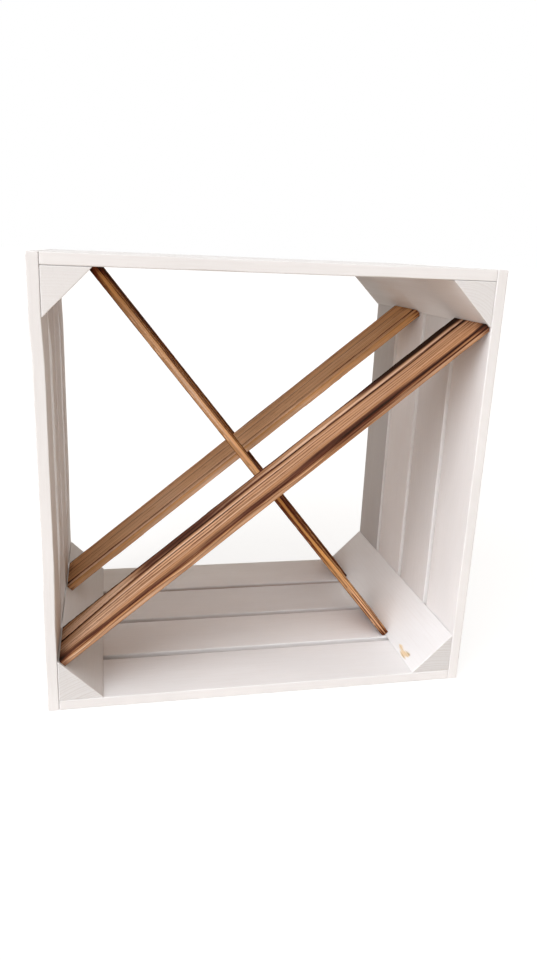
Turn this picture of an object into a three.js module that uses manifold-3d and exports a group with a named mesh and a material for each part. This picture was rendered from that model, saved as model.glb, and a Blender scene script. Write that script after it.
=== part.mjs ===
// A slatted wine crate laid on its side: four corner posts, four walls of boards and a cross of slats.
// Millimetres, +Z up, the open front faces -Y, and the origin is the middle of the underside.

import * as THREE from 'three';
import { mergeVertices } from 'three/addons/utils/BufferGeometryUtils.js';
import Module from 'manifold-3d';

const wasm = await Module();
wasm.setup();

// Outside of the crate, seen from the front
const WIDTH = 410;
const HEIGHT = 410;

// Wall boards: the depth of the crate is what they and their gaps add up to
const BOARD_THICKNESS = 10;
const BOARD_WIDTH = 69;
const BOARD_GAP = 8;
const BOARDS_PER_WALL = 4;

// Corner posts: right-angled prisms, each leg measured along a wall from the corner where two walls meet
const POST_LEG = 41;

// Cross slats: four layers from front to back, rising and falling in turn
const SLAT_WIDTH = 68;
const SLAT_THICKNESS = 8;
const FIRST_SLAT_SETBACK = 2;
const FIRST_LAYER_GAP = 9;
const MIDDLE_LAYER_GAP = 16.5;
const LAST_LAYER_GAP = 0.5;

// Where the upper face of a slat meets the walls, measured along the wall from the nearest post's edge
const RISING_FOOT_BELOW_POST_EDGE = 2;
const RISING_HEAD_ABOVE_POST_EDGE = 7;
const FALLING_HEAD_PAST_POST_EDGE = 2;
const FALLING_FOOT_PAST_POST_EDGE = 7.5;

// Staples: flat-crown wire, one through each board end, crown along the board's width
const STAPLE_CROWN = 12;
const STAPLE_WIRE = 1.2;
const STAPLE_BITE = 14;
const STAPLE_SINK = 0.3;

// Staple lines, measured from the inner corner where two walls meet: the two lines of a post differ,
// so that legs driven from its two walls pass each other
const SIDE_STAPLE_SET = 21;
const FLAT_STAPLE_SET = 10;

// Gap between touching pieces, and the room around a staple in its hole
const JOINT_GAP = 0.3;

const DEPTH = BOARDS_PER_WALL * BOARD_WIDTH + (BOARDS_PER_WALL - 1) * BOARD_GAP;
const QUARTER_TURN = Math.PI / 2;

const finishes = {
  whitePaint: { color: 0xe9e4e0, roughness: 0.7, metalness: 0 },
  flamedPine: { color: 0x9c6b49, roughness: 0.65, metalness: 0 },
  zincWire: { color: 0xa3a4a5, roughness: 0.4, metalness: 0.9 },
};

function namedMesh(name, geometry, finish) {
  const mesh = new THREE.Mesh(geometry, new THREE.MeshStandardMaterial(finish));
  mesh.name = name;
  return mesh;
}

// A closed three.js geometry as a solid for cutting
function toSolid(geometry) {
  const bare = geometry.clone();
  bare.deleteAttribute('normal');
  bare.deleteAttribute('uv');
  const merged = mergeVertices(bare);
  return new wasm.Manifold(new wasm.Mesh({
    numProp: 3,
    vertProperties: new Float32Array(merged.attributes.position.array),
    triVerts: new Uint32Array(merged.index.array),
  }));
}

function fromSolid(solid) {
  const mesh = solid.getMesh();
  const geometry = new THREE.BufferGeometry();
  geometry.setAttribute('position', new THREE.BufferAttribute(mesh.vertProperties, 3));
  geometry.setIndex(new THREE.BufferAttribute(mesh.triVerts, 1));
  geometry.computeVertexNormals();
  return geometry;
}

function cutAway(geometry, cutters) {
  let solid = toSolid(geometry);
  for (const cutter of cutters) {
    solid = solid.subtract(toSolid(cutter));
  }
  return fromSolid(solid);
}

// An outline in the XZ plane carried along +Y for the given length, starting at y = 0
function alongDepth(points, length) {
  const outline = new THREE.Shape(points.map(([x, z]) => new THREE.Vector2(x, z)));
  const geometry = new THREE.ExtrudeGeometry(outline, { depth: length, bevelEnabled: false });
  geometry.rotateX(QUARTER_TURN);
  geometry.translate(0, length, 0);
  return geometry;
}

// The middle of a board, counted from the front
function boardMiddle(index) {
  return -DEPTH / 2 + BOARD_WIDTH / 2 + index * (BOARD_WIDTH + BOARD_GAP);
}

// A staple with its crown along Y, its legs down -Z and the board's outer face at z = 0.
// Room swells it into the shape of its hole, and overrun lifts the hole out of the board.
function stapleGeometry(room = 0, overrun = 0) {
  const outer = STAPLE_CROWN / 2 + room;
  const inner = STAPLE_CROWN / 2 - STAPLE_WIRE - room;
  const top = overrun - STAPLE_SINK;
  const underCrown = -STAPLE_SINK - STAPLE_WIRE - room;
  const tip = -BOARD_THICKNESS - JOINT_GAP - STAPLE_BITE - room;
  const corners = [
    [-outer, top], [-outer, tip], [-inner, tip], [-inner, underCrown],
    [inner, underCrown], [inner, tip], [outer, tip], [outer, top],
  ];
  const wire = new THREE.Shape(corners.map(([y, z]) => new THREE.Vector2(y, z)));
  const breadth = STAPLE_WIRE + 2 * room;
  const geometry = new THREE.ExtrudeGeometry(wire, { depth: breadth, bevelEnabled: false });
  geometry.translate(0, 0, -breadth / 2);
  geometry.rotateX(QUARTER_TURN);
  geometry.rotateZ(QUARTER_TURN);
  return geometry;
}

function stapleHole() {
  return stapleGeometry(JOINT_GAP, STAPLE_SINK + STAPLE_WIRE);
}

// A wall board lying flat: length along X, outer face up, a staple hole near each end
function boardGeometry(length, stapleReach) {
  const plank = new THREE.BoxGeometry(length, BOARD_WIDTH, BOARD_THICKNESS);
  const holes = [-1, 1].map((end) => stapleHole().translate(end * stapleReach, 0, BOARD_THICKNESS / 2));
  return cutAway(plank, holes);
}

// A corner post as it stands in the upper left corner: square corner at the origin, one leg along +X
// under the top boards and one leg along -Z beside the left boards
function postGeometry(setAlongX, setAlongZ) {
  const leg = POST_LEG - 2 * JOINT_GAP;
  const prism = alongDepth([[0, 0], [0, -leg], [leg, 0]], DEPTH).translate(0, -DEPTH / 2, 0);
  const outerFace = JOINT_GAP + BOARD_THICKNESS;
  const holes = [];
  for (let index = 0; index < BOARDS_PER_WALL; index += 1) {
    const y = boardMiddle(index);
    holes.push(stapleHole().translate(setAlongX - JOINT_GAP, y, outerFace));
    holes.push(stapleHole().rotateY(-QUARTER_TURN).translate(-outerFace, y, JOINT_GAP - setAlongZ));
  }
  return cutAway(prism, holes);
}

// A wall in its own group: outer face up, turned about the depth axis through the crate's middle.
// Side boards run the full height and cover the ends of the top and bottom boards.
function wallGroup({ wall, quarterTurns, reach, halfSpan, boardHalf, stapleSet, ends }) {
  const group = new THREE.Group();
  group.rotation.y = quarterTurns * QUARTER_TURN;
  const stapleReach = halfSpan - BOARD_THICKNESS - stapleSet;
  for (let index = 0; index < BOARDS_PER_WALL; index += 1) {
    const y = boardMiddle(index);
    const board = namedMesh(
      `${wall}_board_${index + 1}`,
      boardGeometry(2 * boardHalf, stapleReach),
      finishes.whitePaint,
    );
    board.position.set(0, y, reach - BOARD_THICKNESS / 2);
    group.add(board);
    ends.forEach((end, side) => {
      const staple = namedMesh(`staple_${wall}_${index + 1}_${end}`, stapleGeometry(), finishes.zincWire);
      staple.position.set(side === 0 ? -stapleReach : stapleReach, y, reach);
      group.add(staple);
    });
  }
  return group;
}

function cornerPost(name, quarterTurns, across, up, setAlongX, setAlongZ) {
  const post = namedMesh(name, postGeometry(setAlongX, setAlongZ), finishes.whitePaint);
  const inset = BOARD_THICKNESS + JOINT_GAP;
  post.position.set(across * (WIDTH / 2 - inset), 0, up * (HEIGHT / 2 - inset));
  post.rotation.y = quarterTurns * QUARTER_TURN;
  return post;
}

// The half plane on the left of a line that runs from one point towards another, moved in by a gap
function leftOf([fromX, fromZ], [toX, toZ], gap) {
  const length = Math.hypot(toX - fromX, toZ - fromZ);
  const normal = [-(toZ - fromZ) / length, (toX - fromX) / length];
  return { normal, offset: normal[0] * fromX + normal[1] * fromZ + gap };
}

// The part of an outline that lies inside a half plane
function clip(points, { normal, offset }) {
  const height = ([x, z]) => normal[0] * x + normal[1] * z - offset;
  return points.flatMap((point, index) => {
    const next = points[(index + 1) % points.length];
    const here = height(point);
    const there = height(next);
    const kept = here >= 0 ? [point] : [];
    if (here * there >= 0) {
      return kept;
    }
    const share = here / (here - there);
    return [...kept, point.map((value, axis) => value + share * (next[axis] - value))];
  });
}

// The clear space inside the crate as half planes: four walls and the faces of the four posts
function clearSpace() {
  const right = WIDTH / 2 - BOARD_THICKNESS;
  const up = HEIGHT / 2 - BOARD_THICKNESS;
  const corners = [
    [right - POST_LEG, -up], [right, POST_LEG - up], [right, up - POST_LEG], [right - POST_LEG, up],
    [POST_LEG - right, up], [-right, up - POST_LEG], [-right, POST_LEG - up], [POST_LEG - right, -up],
  ];
  return corners.map((corner, index) => leftOf(corner, corners[(index + 1) % corners.length], JOINT_GAP));
}

// A slat whose upper face runs through two points, with both ends cut to fit the clear space
function slatGeometry([lowX, lowZ], [highX, highZ]) {
  const run = new THREE.Vector2(highX - lowX, highZ - lowZ);
  const beyond = run.clone().setLength(WIDTH + HEIGHT);
  const down = new THREE.Vector2(run.y, -run.x).setLength(SLAT_THICKNESS);
  const strip = [
    [lowX - beyond.x + down.x, lowZ - beyond.y + down.y],
    [highX + beyond.x + down.x, highZ + beyond.y + down.y],
    [highX + beyond.x, highZ + beyond.y],
    [lowX - beyond.x, lowZ - beyond.y],
  ];
  return alongDepth(clearSpace().reduce(clip, strip), SLAT_WIDTH);
}

function crossSlats() {
  const right = WIDTH / 2 - BOARD_THICKNESS;
  const up = HEIGHT / 2 - BOARD_THICKNESS;
  const rising = [
    [-right, POST_LEG - up - RISING_FOOT_BELOW_POST_EDGE],
    [right, up - POST_LEG + RISING_HEAD_ABOVE_POST_EDGE],
  ];
  const falling = [
    [POST_LEG - right + FALLING_HEAD_PAST_POST_EDGE, up],
    [right - POST_LEG + FALLING_FOOT_PAST_POST_EDGE, -up],
  ];
  const layers = [
    { name: 'rising_slat_front', face: rising, gapBefore: FIRST_SLAT_SETBACK },
    { name: 'falling_slat_front', face: falling, gapBefore: FIRST_LAYER_GAP },
    { name: 'rising_slat_rear', face: rising, gapBefore: MIDDLE_LAYER_GAP },
    { name: 'falling_slat_rear', face: falling, gapBefore: LAST_LAYER_GAP },
  ];
  let front = -DEPTH / 2;
  return layers.map(({ name, face, gapBefore }) => {
    const slat = namedMesh(name, slatGeometry(...face), finishes.flamedPine);
    front += gapBefore;
    slat.position.y = front;
    front += SLAT_WIDTH;
    return slat;
  });
}

function walls() {
  const flat = {
    reach: HEIGHT / 2,
    halfSpan: WIDTH / 2,
    boardHalf: WIDTH / 2 - BOARD_THICKNESS - JOINT_GAP,
    stapleSet: FLAT_STAPLE_SET,
  };
  const side = {
    reach: WIDTH / 2,
    halfSpan: HEIGHT / 2,
    boardHalf: HEIGHT / 2,
    stapleSet: SIDE_STAPLE_SET,
  };
  return [
    wallGroup({ wall: 'top', quarterTurns: 0, ends: ['left', 'right'], ...flat }),
    wallGroup({ wall: 'right', quarterTurns: 1, ends: ['upper', 'lower'], ...side }),
    wallGroup({ wall: 'bottom', quarterTurns: 2, ends: ['right', 'left'], ...flat }),
    wallGroup({ wall: 'left', quarterTurns: 3, ends: ['lower', 'upper'], ...side }),
  ];
}

function posts() {
  return [
    cornerPost('post_top_left', 0, -1, 1, FLAT_STAPLE_SET, SIDE_STAPLE_SET),
    cornerPost('post_top_right', 1, 1, 1, SIDE_STAPLE_SET, FLAT_STAPLE_SET),
    cornerPost('post_bottom_right', 2, 1, -1, FLAT_STAPLE_SET, SIDE_STAPLE_SET),
    cornerPost('post_bottom_left', 3, -1, -1, SIDE_STAPLE_SET, FLAT_STAPLE_SET),
  ];
}

const crate = new THREE.Group();
const aboutTheMiddle = new THREE.Group();
aboutTheMiddle.position.z = HEIGHT / 2;
aboutTheMiddle.add(...walls(), ...posts(), ...crossSlats());
crate.add(aboutTheMiddle);

export default crate;
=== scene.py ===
"""Looks for a wine crate: white-painted boards and corner posts, flamed cross slats and wire staples.

Metres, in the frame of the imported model: +Z up, the open front faces -Y, the origin under the middle.
"""

import bpy
import numpy as np
from bpy.props import FloatProperty, FloatVectorProperty, IntProperty, PointerProperty
from mathutils import Matrix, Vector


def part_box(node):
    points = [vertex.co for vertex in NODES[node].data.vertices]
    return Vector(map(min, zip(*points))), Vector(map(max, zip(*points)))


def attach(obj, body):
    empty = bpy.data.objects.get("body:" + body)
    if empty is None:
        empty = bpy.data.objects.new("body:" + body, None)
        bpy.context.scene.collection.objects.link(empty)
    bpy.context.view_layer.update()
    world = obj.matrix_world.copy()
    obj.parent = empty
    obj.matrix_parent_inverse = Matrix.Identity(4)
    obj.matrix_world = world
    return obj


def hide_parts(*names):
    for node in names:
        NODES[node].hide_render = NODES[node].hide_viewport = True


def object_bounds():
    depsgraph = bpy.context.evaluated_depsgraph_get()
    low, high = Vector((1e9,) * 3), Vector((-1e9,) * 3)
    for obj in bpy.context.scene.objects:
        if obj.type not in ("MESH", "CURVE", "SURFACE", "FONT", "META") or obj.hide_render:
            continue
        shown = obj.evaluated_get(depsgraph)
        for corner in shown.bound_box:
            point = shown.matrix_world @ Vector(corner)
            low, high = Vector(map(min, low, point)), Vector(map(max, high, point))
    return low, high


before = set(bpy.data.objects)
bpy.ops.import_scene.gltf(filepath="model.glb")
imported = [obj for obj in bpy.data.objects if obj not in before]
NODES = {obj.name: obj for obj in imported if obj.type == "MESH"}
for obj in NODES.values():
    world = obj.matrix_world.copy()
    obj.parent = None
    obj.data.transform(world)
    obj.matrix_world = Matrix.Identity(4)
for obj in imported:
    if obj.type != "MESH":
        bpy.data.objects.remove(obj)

bl_info = {
    "name": "Wine crate",
    "version": (1, 0, 0),
    "blender": (4, 5, 0),
    "location": "View3D > Sidebar > Crate",
    "description": "Dresses the packed crate with worn boards, posts, flamed slats and staples",
    "category": "Object",
}

CAD_LOW, CAD_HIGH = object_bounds()

X = np.array([1.0, 0.0, 0.0])
Y = np.array([0.0, 1.0, 0.0])
Z = np.array([0.0, 0.0, 1.0])

# Each wall: the way its boards run as (along, outward). The width of every board runs along +Y.
WALLS = {
    "top": (X, Z),
    "right": (-Z, X),
    "bottom": (-X, -Z),
    "left": (Z, -X),
}
BOARDS_PER_WALL = 4
STAPLE_ENDS = {
    "top": ("left", "right"),
    "right": ("upper", "lower"),
    "bottom": ("right", "left"),
    "left": ("lower", "upper"),
}

# Each post: the way its two legs run from the square corner, and where the heart of its log lies,
# as shares of the leg along the first and second of them, and how much darker its sawn ends are drawn:
# partly paint soaked up by the end grain, partly painted shade, most on the lower posts
POSTS = {
    "post_top_left": {"legs": (X, -Z), "heart": (0.35, 9.0), "ring": 0.0021, "sawn": 0.7},
    "post_top_right": {"legs": (-Z, -X), "heart": (1.35, 0.75), "ring": 0.0024, "sawn": 1.5},
    "post_bottom_right": {"legs": (-X, Z), "heart": (0.4, -3.5), "ring": 0.0030, "sawn": 2.4},
    "post_bottom_left": {"legs": (Z, X), "heart": (-2.5, 1.6), "ring": 0.0028, "sawn": 1.9},
}

# How far the front and the back edge of a board bow inwards between its posts
BOWS = {
    "left_board_1": (0.0013, 0.0001),
    "left_board_2": (0.0023, 0.0003),
    "left_board_3": (0.0008, 0.0002),
    "left_board_4": (0.0021, 0.0008),
}

# Painted light and shade: how much lighter or darker the inner face of a board is drawn, standing in for
# light that falls unevenly on the floor and on the right wall
PAINTED_SHADING = {
    "right_board_1": 0.08,
    "right_board_2": -0.03,
    "right_board_3": 0.11,
    "right_board_4": -0.25,
    "bottom_board_1": 0.07,
    "bottom_board_2": 0.11,
    "bottom_board_3": 0.03,
    "bottom_board_4": 0.09,
}

# Painted light and shade along the slanting face of a post, darker towards the back where shade falls, as
# pairs of (share of the length from the front, value)
POST_PAINTED_SHADING = {
    "post_top_right": ((0.0, 0.03), (0.40, 0.08), (0.62, 0.02), (0.85, -0.18), (1.0, -0.22)),
    "post_bottom_left": ((0.0, 0.0), (0.50, -0.02), (1.0, -0.10)),
}

# Pairs that stay at nothing all along
LEVEL = ((0.0, 0.0), (1.0, 0.0))

# Where a board's bow sets in, measured from its start and from its end
BOW_FROM_START = (0.080, 0.150)
BOW_FROM_END = (0.050, 0.090)

# Painted shade in the gaps of the floor: the depths below the inner face between which it sets in, the
# distances from the front between which it grows from its least share to all, and what it takes of red,
# green and blue
GAP_SHADE_DEPTH = (0.0010, 0.0034)
GAP_SHADE_FROM_FRONT = (0.10, 0.26)
GAP_SHADE_LEAST = 0.15
GAP_SHADE_TAKES = (0.30, 0.40, 0.46)

# How near the crate's front or back an edge counts as lying on it
FLUSH = 0.001

# How far the normal of a vertex has to turn to a face, from none to all of that face's treatment
BOARD_FACE = (0.9, 0.99)
SLAT_FACE = (0.5, 0.95)

# How far the heart of a log wanders across a piece and through it
HEART_DRIFT, HEART_LIFT = 0.0022, 0.0016

# Spacing of the grid lines along a slat, and the share of its length over which its grain settles
SLAT_STEP = 0.0035
GRAIN_SETTLES = 0.13

# Grid lines around the edge of a sawn end, along a staple's legs and crown, and around its bends
END_STEPS = 4
STAPLE_LINES = 8
BEND_STEPS = 5

# First seeds of the random draws for the boards and for the posts, and how far each staple's wire is moved
# on in its pattern
BOARD_SEED, POST_SEED = 100, 200
STAPLE_SHIFT = 0.37

# The floor's grid lines each way, how far it lies under the crate, and how far inside the crate's outline
# its white begins and is full
FLOOR_LINES = 9
FLOOR_DROP = 0.0002
WHITE_BEGINS, WHITE_FULL = 0.010, 0.002

LAMPS = ("key", "side", "front", "back")
SENSOR_WIDTH = 36.0

# Each slat: where the heart of its log lies across it (share of its width from the front) and below its
# middle, the width of a year's growth, the seed of its random draws, how far its grain runs out to the
# front at the start, and how far it leans to the front along the slat. Bands follow the grain and the rim
# follows the edges: both are (share of the width from the front, half width, strengths), and pale is where
# the upper face is light. Edge lines are (share of the thickness from below, half width, strengths), and
# edge pale is where the front edge is light. Front edge, back edge, under and ends are how scorched those
# faces are. Strengths and leans are pairs of (share of the length, value). Honey is how golden the upper
# face and the front edge are. Swing, lean, pale and edge pale are left out where there is none.
SLATS = {
    "rising_slat_front": {
        "heart": (-1.0, -0.085), "ring": 0.0034, "seed": 11, "swing": 0.44,
        "lean": ((0.0, 0.0), (0.5, 0.0), (0.68, 0.045), (0.86, 0.092), (1.0, 0.092)),
        "bands": [
            (0.725, 0.03, ((0.0, 1.3), (0.13, 0.6), (0.3, 0.7), (0.45, 0.62), (0.7, 0.82), (1.0, 1.0))),
            (0.56, 0.016, ((0.0, 0.3), (0.13, 0.75), (0.28, 1.45), (0.45, 1.1), (0.7, 0.62), (1.0, 0.7))),
            (0.455, 0.014, ((0.0, 0.2), (0.13, 0.6), (0.28, 1.15), (0.45, 0.85), (1.0, 0.45))),
            (0.345, 0.013, ((0.0, 0.1), (0.28, 0.75), (0.6, 0.35), (1.0, 0.3))),
        ],
        "rim": [
            (0.845, 0.14, ((0.0, 0.0), (0.15, 0.0), (0.22, 0.85), (0.35, 0.8), (0.46, 0.42), (0.6, 0.1),
                (0.7, 0.0))),
            (0.89, 0.085, ((0.0, 0.0), (0.72, 0.0), (0.8, 1.15), (1.0, 1.25))),
            (0.975, 0.032, ((0.0, 1.2), (0.22, 0.7), (1.0, 0.8))),
            (0.13, 0.08, ((0.0, 0.05), (0.5, 0.05), (0.62, 0.4), (0.74, 0.4), (0.84, 0.15), (1.0, 0.1))),
            (0.05, 0.12, ((0.0, 0.5), (0.15, 0.58), (0.35, 0.56), (0.55, 0.62), (0.7, 0.52), (0.85, 0.3),
                (1.0, 0.25))),
            (0.045, 0.055, ((0.0, 0.0), (0.62, 0.0), (0.8, 0.34), (1.0, 0.42))),
            (0.01, 0.035, ((0.0, 0.25), (0.5, 0.15), (1.0, 0.65))),
        ],
        "pale": [
            (0.605, 0.03, ((0.0, 0.3), (0.12, 1.6), (0.28, 1.7), (0.45, 1.0), (0.65, 0.4), (1.0, 0.35))),
            (0.805, 0.055, ((0.0, 0.9), (0.12, 1.4), (0.2, 0.1), (0.4, 0.3), (0.68, 1.5), (0.86, 1.5),
                (1.0, 0.9))),
            # Painted light: the next two pale bands lighten the slat's lower start, which the left wall
            # shades
            (0.96, 0.15, ((0.0, 1.3), (0.13, 1.0), (0.2, 0.0), (1.0, 0.0))),
            (0.35, 0.18, ((0.0, 0.6), (0.08, 0.6), (0.16, 0.2), (0.24, 0.0), (1.0, 0.0))),
            (0.505, 0.018, ((0.0, 0.4), (0.28, 0.8), (0.5, 0.5), (1.0, 0.2))),
            (0.4, 0.016, ((0.0, 0.4), (0.28, 0.7), (0.5, 0.5), (1.0, 0.2))),
            (0.29, 0.022, ((0.0, 0.4), (0.28, 0.7), (0.6, 0.4), (1.0, 0.2))),
        ],
        "front_edge": ((0.0, 0.04), (0.6, 0.06), (0.7, 0.26), (0.8, 0.1), (1.0, 0.08)),
        "edge_lines": [
            (1.0, 0.3, ((0.0, 0.5), (0.5, 0.62), (1.0, 0.66))),
            (0.58, 0.09, ((0.0, 0.1), (0.6, 0.25), (0.85, 0.55), (1.0, 0.85))),
            (0.26, 0.07, ((0.0, 0.3), (1.0, 0.4))),
        ],
        "edge_pale": [
            (0.38, 0.2, ((0.0, 1.05), (0.2, 0.85), (0.4, 0.7), (0.52, 0.6), (0.66, 0.1), (0.82, 0.75),
                (1.0, 0.45))),
        ],
        "back_edge": ((0.0, 0.6), (1.0, 0.9)),
        "under": 0.35, "ends": 0.45, "honey": (0.25, 0.36),
    },
    "falling_slat_front": {
        "heart": (1.9, 0.12), "ring": 0.0022, "seed": 23,
        "bands": [
            (0.5, 1.2, ((0.0, 0.74), (0.1, 0.64), (0.3, 0.7), (0.5, 0.72), (0.62, 0.72), (0.76, 0.3),
                (0.88, 0.06), (1.0, 0.05))),
        ],
        "rim": [
            (0.04, 0.06, ((0.0, 0.2), (0.05, 0.0), (0.5, 0.0), (0.62, 0.15), (0.75, 0.1), (1.0, 0.05))),
            (0.13, 0.24, ((0.0, 0.0), (0.05, -0.5), (0.48, -0.5), (0.56, 0.0), (1.0, 0.0))),
            (0.97, 0.08, ((0.0, 0.8), (1.0, 0.7))),
        ],
        "pale": [
            (0.45, 0.6, ((0.0, 0.0), (0.76, 0.0), (0.9, 0.65), (1.0, 0.65))),
        ],
        "front_edge": ((0.0, 0.5), (0.05, 0.34), (0.11, 0.02), (0.52, 0.0), (0.56, 0.22), (0.7, 0.24),
            (0.8, 0.08), (1.0, 0.06)),
        "edge_lines": [
            (1.0, 0.13, ((0.0, 0.7), (0.05, 0.25), (0.48, 0.25), (0.55, 0.75), (0.7, 0.6), (0.8, 0.2),
                (1.0, 0.1))),
            (0.3, 0.14, ((0.0, 0.05), (0.5, 0.05), (0.6, 0.28), (0.74, 0.4), (0.85, 0.1), (1.0, 0.1))),
            (0.68, 0.06, ((0.0, 0.1), (0.75, 0.15), (0.88, 0.85), (1.0, 0.9))),
            (0.36, 0.06, ((0.0, 0.05), (0.78, 0.1), (0.88, 0.8), (1.0, 0.9))),
            (0.04, 0.06, ((0.0, 0.2), (0.78, 0.3), (1.0, 0.7))),
        ],
        "edge_pale": [
            (0.35, 0.5, ((0.0, 0.0), (0.06, 0.1), (0.12, 0.78), (0.3, 0.74), (0.5, 0.36), (0.55, 0.0),
                (0.76, 0.0), (0.86, 0.62), (1.0, 0.6))),
        ],
        "back_edge": ((0.0, 0.7), (1.0, 0.7)),
        "under": 0.45, "ends": 0.55, "honey": (1.0, 0.92),
    },
    "rising_slat_rear": {
        "heart": (-1.6, -0.1), "ring": 0.0036, "seed": 37,
        "bands": [
            (0.5, 0.7, ((0.0, 0.04), (0.12, -0.06), (0.28, -0.2), (0.6, -0.2), (0.9, -0.12), (1.0, -0.02))),
        ],
        "rim": [
            (0.98, 0.03, ((0.0, 0.8), (0.6, 0.6), (1.0, 0.7))),
            (0.13, 0.03, ((0.0, 0.85), (0.3, 0.7), (0.6, 0.55), (1.0, 0.8))),
        ],
        "pale": [
            (0.05, 0.09, ((0.0, 1.1), (0.2, 0.6), (0.4, 0.3), (1.0, 0.1))),
            (0.4, 0.7, ((0.0, 0.3), (0.15, 0.5), (0.3, 0.5), (0.45, 0.4), (0.65, 0.34), (0.85, 0.26),
                (1.0, 0.2))),
        ],
        "front_edge": ((0.0, 0.06), (0.3, 0.0), (0.9, 0.0), (1.0, 0.12)),
        "edge_lines": [
            (0.84, 0.13, ((0.0, 0.15), (0.6, 0.18), (1.0, 0.25))),
            (0.36, 0.06, ((0.0, 0.3), (0.5, 0.25), (1.0, 0.4))),
            (0.02, 0.08, ((0.0, 0.4), (1.0, 0.4))),
        ],
        "edge_pale": [
            (0.35, 0.3, ((0.0, 0.4), (0.15, 0.45), (0.3, 0.9), (0.45, 0.9), (0.8, 0.4), (1.0, 0.05))),
        ],
        "back_edge": ((0.0, 0.8), (1.0, 0.8)),
        "under": 0.3, "ends": 0.4, "honey": (0.72, 0.7),
    },
    "falling_slat_rear": {
        "heart": (1.5, 0.1), "ring": 0.0026, "seed": 41,
        "bands": [
            (0.5, 1.2, ((0.0, 0.5), (0.6, 0.45), (1.0, 0.3))),
        ],
        "rim": [
            (0.03, 0.05, ((0.0, 0.5), (1.0, 0.4))),
            (0.97, 0.08, ((0.0, 0.7), (1.0, 0.6))),
        ],
        "front_edge": ((0.0, 0.3), (1.0, 0.2)),
        "edge_lines": [
            (0.95, 0.12, ((0.0, 0.6), (1.0, 0.5))),
            (0.45, 0.08, ((0.0, 0.4), (1.0, 0.3))),
        ],
        "back_edge": ((0.0, 0.85), (1.0, 0.85)),
        "under": 0.4, "ends": 0.5, "honey": (0.8, 0.8),
    },
}

# What settings of one kind share
LENGTH = {"unit": "LENGTH", "precision": 4}
COLOUR = {"subtype": "COLOR", "min": 0.0, "max": 1.0}
STRENGTH = {"min": 0.0, "max": 20.0}
ANGLE = {"subtype": "ANGLE", "unit": "ROTATION"}
AZIMUTH = {"min": -3.2, "max": 3.2, **ANGLE}
ELEVATION = {"min": 0.0, "max": 1.57, **ANGLE}


class CrateSizes(bpy.types.PropertyGroup):
    """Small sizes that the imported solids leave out"""

    board_arris: FloatProperty(
        name="Board arris", description="Radius of a board's long edges",
        default=0.0008, min=0.0002, max=0.004, **LENGTH)
    post_arris: FloatProperty(
        name="Post arris", description="Radius of a post's long edges",
        default=0.0004, min=0.0001, max=0.004, **LENGTH)
    slat_arris: FloatProperty(
        name="Slat arris", description="Radius of a slat's long edges",
        default=0.0012, min=0.0002, max=0.003, **LENGTH)
    end_arris: FloatProperty(
        name="End arris", description="Radius of the edges around a sawn end",
        default=0.0006, min=0.0001, max=0.002, **LENGTH)
    arris_wear: FloatProperty(
        name="Arris wear", description="How far the long edges are rubbed back in places",
        default=0.0004, min=0.0, max=0.002, **LENGTH)
    board_cup: FloatProperty(
        name="Board cup", description="How far a board's inner face hollows between its edges",
        default=0.0002, min=0.0, max=0.001, **LENGTH)
    slat_relief: FloatProperty(
        name="Brushed relief", description="Depth to which the soft wood is brushed out of the slats",
        default=0.00035, min=0.0, max=0.001, unit="LENGTH", precision=5)
    board_pitch: FloatProperty(
        name="Board grid", description="Spacing of the grid lines on boards and posts",
        default=0.004, min=0.001, max=0.02, **LENGTH)
    slat_pitch: FloatProperty(
        name="Slat grid", description="Spacing of the grid lines across a slat",
        default=0.0009, min=0.0004, max=0.01, **LENGTH)
    staple_press: FloatProperty(
        name="Staple press", description="Width of the dent around a staple's crown",
        default=0.0008, min=0.0002, max=0.003, **LENGTH)
    arris_steps: IntProperty(
        name="Arris steps", description="Grid lines around a rounded edge", default=5, min=2, max=12)


class CrateFinish(bpy.types.PropertyGroup):
    """Colours of the crate"""

    paint: FloatVectorProperty(
        name="Paint", description="White paint in full light", default=(0.85, 0.846, 0.855), **COLOUR)
    paint_grain: FloatVectorProperty(
        name="Paint grain", description="Paint where the growth lines show through",
        default=(0.64, 0.59, 0.56), **COLOUR)
    bare_wood: FloatVectorProperty(
        name="Bare wood", description="Wood where the paint is missing",
        default=(0.78, 0.60, 0.38), **COLOUR)
    slat_pale: FloatVectorProperty(
        name="Slat pale", description="Palest streaks of the slats", default=(0.78, 0.52, 0.36), **COLOUR)
    slat_tan: FloatVectorProperty(
        name="Slat tan", description="Soft wood of the slats", default=(0.42, 0.220, 0.130), **COLOUR)
    slat_honey: FloatVectorProperty(
        name="Slat honey", description="Golden soft wood of the slats",
        default=(0.71, 0.352, 0.116), **COLOUR)
    slat_brown: FloatVectorProperty(
        name="Slat brown", description="Hard growth lines of the slats",
        default=(0.17, 0.068, 0.028), **COLOUR)
    slat_burnt: FloatVectorProperty(
        name="Slat burnt", description="Scorched bands of the slats",
        default=(0.085, 0.036, 0.024), **COLOUR)
    slat_ember: FloatVectorProperty(
        name="Slat ember", description="Scorched bands where the wood is golden",
        default=(0.115, 0.015, 0.003), **COLOUR)
    slat_char: FloatVectorProperty(
        name="Slat char", description="Charred wood", default=(0.020, 0.010, 0.006), **COLOUR)
    wire: FloatVectorProperty(
        name="Wire", description="Zinc-plated staple wire", default=(0.52, 0.52, 0.53), **COLOUR)


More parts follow.
